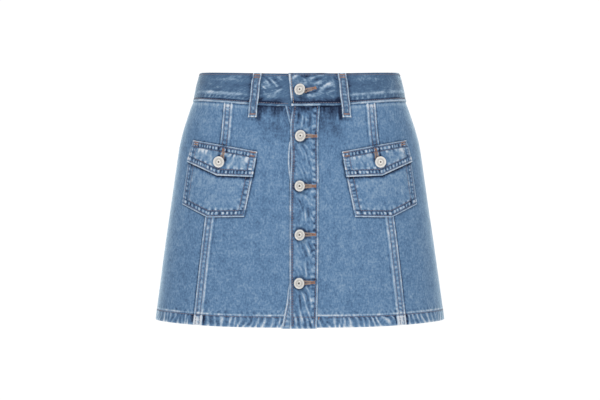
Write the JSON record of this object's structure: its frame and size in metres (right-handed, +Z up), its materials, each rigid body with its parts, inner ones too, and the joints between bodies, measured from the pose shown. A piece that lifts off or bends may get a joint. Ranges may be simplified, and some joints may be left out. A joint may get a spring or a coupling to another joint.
{
  "type": "denim skort",
  "caption": "Short A-line denim skort: buttoned front placket, flapped patch pockets, waistband with belt loops, hidden inner shorts; held by the waist.",
  "frame": {"origin": "middle of the waist, level with the middle of the waistband at the side seams, where the wearer's waist holds the garment", "axes": "+Z up through the waist opening, +X towards the wearer's left, front facing -Y"},
  "size_m": [0.3824, 0.2626, 0.3336],
  "materials": {
    "denim": "mid blue washed denim twill, faded at seams and edges",
    "denim_band": "slightly darker washed denim, folded double",
    "denim_shorts": "plain washed denim",
    "thread": "grey brown topstitching thread",
    "thread_bright": "orange brown thread of buttonholes and bartacks",
    "button_metal": "satin silver, slightly warm"
  },
  "bodies": {
    "root": {"waistband": "denim_band", "front_right_side": "denim", "front_right_centre": "denim", "front_left_centre": "denim", "front_left_side": "denim", "back_right": "denim", "back_left": "denim", "placket_outer": "denim", "placket_inner": "denim", "pocket_right": "denim", "pocket_left": "denim", "flap_right": "denim", "flap_left": "denim", "belt_loop_front_right": "denim_band", "belt_loop_front_left": "denim_band", "belt_loop_back_right": "denim_band", "belt_loop_back_left": "denim_band", "belt_loop_back_centre": "denim_band", "button_waist": "button_metal", "button_front_1": "button_metal", "button_front_2": "button_metal", "button_front_3": "button_metal", "button_front_4": "button_metal", "button_flap_right": "button_metal", "button_flap_left": "button_metal", "shorts_front_right": "denim_shorts", "shorts_front_left": "denim_shorts", "shorts_back_right": "denim_shorts", "shorts_back_left": "denim_shorts"}
  },
  "joints": []
}
